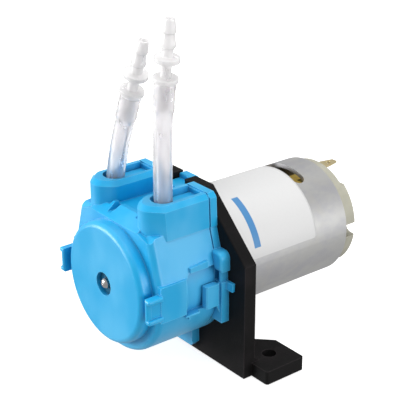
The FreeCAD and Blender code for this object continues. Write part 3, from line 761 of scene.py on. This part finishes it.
def spline_points(name: str, route: Sequence[Vector]) -> list[Vector]:
    """Returns the points of a smooth NURBS line along a route.

    Args:
        name: A name for the line while it is read.
        route: Its control points.

    Returns:
        The line's points.
    """
    curve = bpy.data.curves.new(name, "CURVE")
    curve.dimensions = "3D"
    curve.resolution_u = 24
    spline = curve.splines.new("NURBS")
    spline.points.add(len(route) - 1)
    for point, place in zip(spline.points, route):
        point.co = (*place, 1.0)
    spline.order_u = 3
    spline.use_endpoint_u = True
    holder = bpy.data.objects.new(name, curve)
    bpy.context.scene.collection.objects.link(holder)
    line = bpy.data.meshes.new_from_object(holder)
    points = [vertex.co.copy() for vertex in line.vertices]
    bpy.data.objects.remove(holder)
    bpy.data.meshes.remove(line)
    return points


# ---------------------------------------------------------------- the pump


@dataclass
class PumpHead:
    """The blue head: the clip-fastened front housing, the rear housing and the shaft's bush."""

    finishes: Finishes
    rounding: float = 0.22

    def build(self) -> None:
        """Dresses the head's CAD nodes."""
        dress("front_housing", self.finishes.head, self.rounding, 3)
        dress("rear_housing", self.finishes.head, self.rounding, 3)
        dress("shaft_bush", self.finishes.bush)


@dataclass
class FootBracket:
    """The black bracket with its two feet."""

    finishes: Finishes
    rounding: float = 0.25

    def build(self) -> None:
        """Dresses the bracket."""
        dress("mounting_bracket", self.finishes.bracket, self.rounding, 3)


@dataclass
class Motor:
    """The brushed motor: can, label, end bell, terminals and what shows inside."""

    finishes: Finishes
    can_radius: float = 13.85
    label_y: tuple[float, float] = (-3.8, 20.75)
    label_turn: tuple[float, float] = (6.9, 186.9)
    label_corner: float = 0.6
    label_gap: float = 0.02
    label_top: float = 0.11
    label_steps: int = 96
    label_rows: int = 40

    def build(self) -> None:
        """Dresses the motor's nodes and makes its label."""
        use = self.finishes
        dress("motor_can", use.can)
        dress("end_bell", use.bell, 0.25)
        for side in ("upper", "lower"):
            dress(f"terminal_{side}", use.brass, 0.08)
            dress(f"brush_arm_{side}", use.spring)
            dress(f"brush_{side}", use.carbon, 0.1)
        for side in ("left", "right"):
            dress(f"magnet_{side}", use.ferrite)
        for node in ("motor_front_bush", "end_bell_bush"):
            dress(node, use.bronze)
        dress("motor_shaft", use.steel)
        dress("motor_screws", use.steel)
        dress("armature_core", use.laminations)
        dress("armature_windings", use.copper)
        dress("commutator", use.bars)
        self.label()

    def label(self) -> bpy.types.Object:
        """Makes the blank label: a thin film round the can, with rounded corners.

        Returns:
            The label.
        """
        steps, rows = self.label_steps, self.label_rows
        low_y, high_y = self.label_y
        low_a, high_a = (math.radians(turn) for turn in self.label_turn)
        inner = (self.can_radius + self.label_gap) * MM
        outer = (self.can_radius + self.label_top) * MM
        corner = self.label_corner

        def place(u: float, v: float, radius: float) -> Vector:
            """Returns a point of the film, drawn in at its corners."""
            length = (high_a - low_a) * self.can_radius
            across = u * length
            from_end = min(across, length - across)
            inset = 0.0
            if from_end < corner:
                inset = corner - math.sqrt(corner**2 - (corner - from_end) ** 2)
            y = low_y + inset + v * (high_y - low_y - 2 * inset)
            angle = low_a + across / self.can_radius
            return SHAFT + Vector((radius * math.cos(angle), y * MM, radius * math.sin(angle)))

        film = bmesh.new()
        spots = [math.sin(math.pi * (step / steps - 0.5)) * 0.5 + 0.5 for step in range(steps + 1)]
        sheets = [
            [[film.verts.new(place(u, row / rows, radius)) for row in range(rows + 1)] for u in spots]
            for radius in (inner, outer)
        ]
        for sheet in sheets:
            for column, after in zip(sheet, sheet[1:]):
                for row in range(rows):
                    film.faces.new((column[row], column[row + 1], after[row + 1], after[row]))
        self._close_rim(film, sheets, steps, rows)
        piece = new_piece("blank_label", film, self.finishes.label)
        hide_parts("motor_label")
        LOG.info("made %s", piece.name)
        return piece

    @staticmethod
    def _close_rim(film: bmesh.types.BMesh, sheets: list, steps: int, rows: int) -> None:
        """Joins the film's inner and outer sheet all round their rim."""
        rim = [(step, 0) for step in range(steps)] + [(steps, row) for row in range(rows)]
        rim += [(step, rows) for step in range(steps, 0, -1)] + [(0, row) for row in range(rows, 0, -1)]
        for (a, b), (c, d) in zip(rim, rim[1:] + rim[:1]):
            inner, outer = sheets
            film.faces.new((inner[a][b], inner[c][d], outer[c][d], outer[a][b]))


@dataclass
class RollerDrive:
    """The roller carrier, its rollers and the sleeve that drives them."""

    finishes: Finishes

    def build(self) -> None:
        """Dresses the drive's nodes."""
        use = self.finishes
        dress("drive_sleeve", use.steel)
        dress("rotor_front_plate", use.carrier, 0.2)
        dress("rotor_rear_plate", use.carrier, 0.2)
        dress("rotor_washer", use.acetal)
        for number in (1, 2, 3):
            dress(f"roller_{number}", use.acetal)
            dress(f"roller_pin_{number}", use.steel, 0.1)


@dataclass
class HoseEnd:
    """One free end of the pump tube, with its barbed fitting."""

    side: str
    route: tuple[tuple[float, float], ...]
    length: float
    finishes: Finishes
    radius: float = 2.0
    bore: float = 1.0
    swell: float = 0.25
    swell_length: float = 6.0
    bore_swell: float = 1.2
    first_barb: float = 3.2
    barb_pitch: float = 2.4
    barb_share: float = 0.28
    count: int = 40

    def points(self) -> list[Vector]:
        """Returns the route's points."""
        return [Vector((x * MM, TUBE_Y, z * MM)) for x, z in self.route]

    def build(self) -> None:
        line = spline_points(f"hose_line_{self.side}", self.points())
        hose = self.hose(line)
        fitting = self.fitting(line[-1], (line[-1] - line[-2]).normalized())
        LOG.info("made %s and %s", hose.name, fitting.name)

    def hose(self, line: Sequence[Vector]) -> bpy.types.Object:
        """Makes the hose: a hollow tube, swollen over the fitting's barbs.

        Args:
            line: The hose's middle line.

        Returns:
            The hose.
        """
        left = [0.0]
        for here, before in zip(reversed(line[:-1]), reversed(line[1:])):
            left.append(left[-1] + (here - before).length / MM)
        left.reverse()
        outside, inside = [], []
        for index, (point, to_go) in enumerate(zip(line, left)):
            ahead = line[min(index + 1, len(line) - 1)] - line[max(index - 1, 0)]
            grown = self.swell * self._swollen(to_go)
            outside.append(ring_points(point, ahead.normalized(), (self.radius + grown) * MM, self.count))
            opened = self.bore + self.bore_swell * grown
            inside.append(ring_points(point, ahead.normalized(), opened * MM, self.count))
        mesh = skin(outside + inside[::-1], True)
        piece = new_piece(f"hose_{self.side}", mesh, self.finishes.tube)
        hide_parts(f"hose_end_{self.side}")
        return piece

    def _swollen(self, to_go: float) -> float:
        """Returns how far the hose is swollen, from 0 to 1, at a distance from its end."""
        barbs = 0.5 + 0.5 * math.cos(math.tau * (to_go - self.first_barb) / self.barb_pitch)
        level = max(0.0, min(1.0, (self.swell_length + 1.2 - to_go) / 1.4))
        return level * level * (3 - 2 * level) * ((1 - self.barb_share) + self.barb_share * barbs)

    def fitting(self, end: Vector, ahead: Vector) -> bpy.types.Object:
        """Makes the barbed fitting: two flanges, a waist and barbs on both sides.

        Args:
            end: The middle of the hose's end face.
            ahead: The direction in which the fitting stands out.

        Returns:
            The fitting.
        """
        rings = [
            ring_points(end + ahead * (place * MM), ahead, radius * MM, self.count)
            for radius, place in fitting_profile()
        ]
        mesh = skin(rings, True)
        piece = new_piece(f"barbed_fitting_{self.side}", mesh, self.finishes.fitting)
        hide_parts(f"fitting_{self.side}")
        return piece


def softened(
    corners: Sequence[tuple[float, float]], reach: float, steps: int = 4
) -> list[tuple[float, float]]:
    """Returns an outline with its corners rounded.

    Args:
        corners: The outline's corners.
        reach: How far each rounding reaches along its two sides, at most.
        steps: The number of pieces in each rounding.

    Returns:
        The rounded outline's points.
    """
    points = []
    for before, here, after in zip(corners[-1:] + corners[:-1], corners, corners[1:] + corners[:1]):
        a, b, c = Vector(before), Vector(here), Vector(after)
        near = b + (a - b).normalized() * min(reach, 0.45 * (a - b).length)
        far = b + (c - b).normalized() * min(reach, 0.45 * (c - b).length)
        for step in range(steps + 1):
            t = step / steps
            points.append(tuple(near.lerp(b, t).lerp(b.lerp(far, t), t)))
    return points


def fitting_profile() -> list[tuple[float, float]]:
    """Returns a hose fitting's outline as (radius, distance from the hose's end face), in millimetres."""
    bore = 0.6
    corner = 0.14
    inner_barbs = [(bore, -6.25), (0.95, -6.25), (1.32, -5.0), (1.05, -4.85), (1.32, -3.25), (1.05, -3.1)]
    first_flange = [(1.05, 0.03), (2.6, 0.03), (2.62, 0.98)]
    waist = [(1.12, 1.15), (1.06, 2.6), (1.12, 4.2)]
    second_flange = [(2.64, 4.32), (2.64, 5.28)]
    neck = [(1.2, 5.45), (1.2, 7.1)]
    outer_barbs = [(1.58, 7.42), (1.56, 8.15), (1.14, 10.2), (1.42, 10.42), (1.40, 10.88)]
    tip = [(1.06, 13.15), (bore, 13.15)]
    outline = inner_barbs + first_flange + waist + second_flange + neck + outer_barbs + tip
    return softened(outline, corner)


@dataclass
class RacewayLoop:
    """The pump tube inside the head: flat on the raceway, round again in its two legs."""

    finishes: Finishes
    flat_radius: float = 13.25
    round_radius: float = 12.25
    flat_size: tuple[float, float] = (5.1, 1.96)
    round_size: tuple[float, float] = (3.98, 3.96)
    lean: float = 12.0
    flat_reach: float = 2.2
    round_reach: float = 7.7
    leg_reach: float = 7.98
    leg_steps: int = 12
    loop_steps: int = 80
    section_steps: int = 36

    def build(self) -> None:
        """Makes the loop with its legs."""
        rings = [self.section(*stop) for stop in self.stops()]
        mesh = skin(rings, False)
        for ring in (mesh.verts[: len(rings[0])], mesh.verts[-len(rings[0]) :]):
            mesh.faces.new(ring)
        piece = new_piece("raceway_tube", mesh, self.finishes.tube)
        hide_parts("pump_tube")
        LOG.info("made %s", piece.name)

    def stops(self) -> Iterable[tuple[Vector, Vector, float]]:
        """Yields the middle, the outward direction and the roundness of each section."""
        lean = math.radians(self.lean)
        legs = [self.leg_reach * (1 - step / self.leg_steps) for step in range(self.leg_steps)]
        for reach in legs:
            yield self._on_leg(math.pi - lean, reach, 1)
        for step in range(self.loop_steps + 1):
            angle = math.pi - lean + (math.pi + 2 * lean) * step / self.loop_steps
            out = Vector((math.cos(angle), 0.0, math.sin(angle)))
            yield SHAFT + Vector((0, TUBE_Y, 0)) + out * (self.flat_radius * MM), out, 0.0
        for reach in reversed(legs):
            yield self._on_leg(lean, reach, -1)

    def _on_leg(self, angle: float, reach: float, turn: int) -> tuple[Vector, Vector, float]:
        """Returns the middle, the outward direction and the roundness of a leg's section."""
        out = Vector((math.cos(angle), 0.0, math.sin(angle)))
        up = Vector((turn * math.sin(angle), 0.0, -turn * math.cos(angle)))
        opened = (reach - self.flat_reach) / (self.round_reach - self.flat_reach)
        opened = max(0.0, min(1.0, opened))
        radius = self.flat_radius + (self.round_radius - self.flat_radius) * opened
        return SHAFT + Vector((0, TUBE_Y, 0)) + out * (radius * MM) + up * (reach * MM), out, opened

    def section(self, middle: Vector, out: Vector, opened: float) -> list[Vector]:
        """Returns a section's points: a rounded strip that opens to a circle."""
        width, thick = (
            flat + (full - flat) * opened for flat, full in zip(self.flat_size, self.round_size)
        )
        points = []
        for step in range(self.section_steps):
            a = math.tau * step / self.section_steps
            along = math.copysign(max(0.0, (width - thick) / 2), math.cos(a)) + thick / 2 * math.cos(a)
            points.append(middle + Vector((0, along * MM, 0)) + out * (thick / 2 * math.sin(a) * MM))
        return points


# ---------------------------------------------------------------- the studio


@dataclass
class Studio:
    """The camera, the soft lights, the pale floor and the even sky; lengths in millimetres."""

    azimuth: float = 51.21
    elevation: float = 23.84
    distance: float = 254.66
    focus: tuple[float, float, float] = (8.65, -6.85, 35.5)
    lens: float = 104.09
    floor_half: float = 3000.0
    floor_z: float = -0.4
    sky_strength: float = 0.46

    def build(self) -> None:
        """Makes the studio."""
        self.camera()
        self.floor()
        self.lights()
        self.sky()
        bpy.context.scene.view_settings.view_transform = "Standard"
        LOG.info("made the studio")

    def camera(self) -> None:
        """Makes the camera."""
        turn, rise = math.radians(self.azimuth), math.radians(self.elevation)
        back = Vector((math.sin(turn) * math.cos(rise), -math.cos(turn) * math.cos(rise), math.sin(rise)))
        data = bpy.data.cameras.new("camera")
        data.lens = self.lens
        data.clip_start = 0.01
        data.clip_end = 20.0
        camera = bpy.data.objects.new("camera", data)
        camera.location = (Vector(self.focus) + back * self.distance) * MM
        camera.rotation_euler = back.to_track_quat("Z", "Y").to_euler()
        bpy.context.scene.collection.objects.link(camera)
        bpy.context.scene.camera = camera

    def floor(self) -> None:
        """Makes the pale floor, which throws neither light nor reflections on the pump."""
        mesh = bmesh.new()
        half, z = self.floor_half * MM, self.floor_z * MM
        corners = ((-half, -half), (half, -half), (half, half), (-half, half))
        mesh.faces.new([mesh.verts.new((x, y, z)) for x, y in corners])
        data = bpy.data.meshes.new("floor")
        mesh.to_mesh(data)
        mesh.free()
        data.materials.append(PaleFloor().make())
        floor = bpy.data.objects.new("floor", data)
        floor.visible_diffuse = False
        floor.visible_glossy = False
        bpy.context.scene.collection.objects.link(floor)

    def lights(self) -> None:
        """Makes the soft boxes, and a wide fill that leaves no reflections, all in metres and watts."""
        middle = Vector((0.0, 0.0, 0.03))
        for name, place, size, power in (
            ("key", (-0.44, -0.54, 0.06), 0.40, 6.2),
            ("top", (-0.05, 0.10, 0.60), 0.40, 0.5),
            ("right", (0.64, 0.16, 0.06), 0.38, 2.7),
            ("fill", (0.05, -0.10, 0.95), 1.20, 7.0),
        ):
            data = bpy.data.lights.new(name, "AREA")
            data.energy = power
            data.shape = "SQUARE"
            data.size = size
            lamp = bpy.data.objects.new(name, data)
            lamp.visible_glossy = name != "fill"
            lamp.location = place
            lamp.rotation_euler = (Vector(place) - middle).to_track_quat("Z", "Y").to_euler()
            bpy.context.scene.collection.objects.link(lamp)

    def sky(self) -> None:
        """Makes the even surrounding light."""
        world = bpy.data.worlds.new("studio")
        world.use_nodes = True
        background = world.node_tree.nodes["Background"]
        background.inputs["Color"].default_value = (*WHITE, 1.0)
        background.inputs["Strength"].default_value = self.sky_strength
        bpy.context.scene.world = world


def main() -> None:
    """Builds the studio and every part of the pump."""
    logging.basicConfig(level=logging.INFO, format="%(name)s: %(message)s")
    Studio().build()
    finishes = Finishes()
    HoseEnd("right", RIGHT_ROUTE, RIGHT_LENGTH, finishes).build()
    HoseEnd("left", LEFT_ROUTE, LEFT_LENGTH, finishes).build()
    RacewayLoop(finishes).build()
    PumpHead(finishes).build()
    FootBracket(finishes).build()
    Motor(finishes).build()
    RollerDrive(finishes).build()


if __name__ == "__main__":
    main()
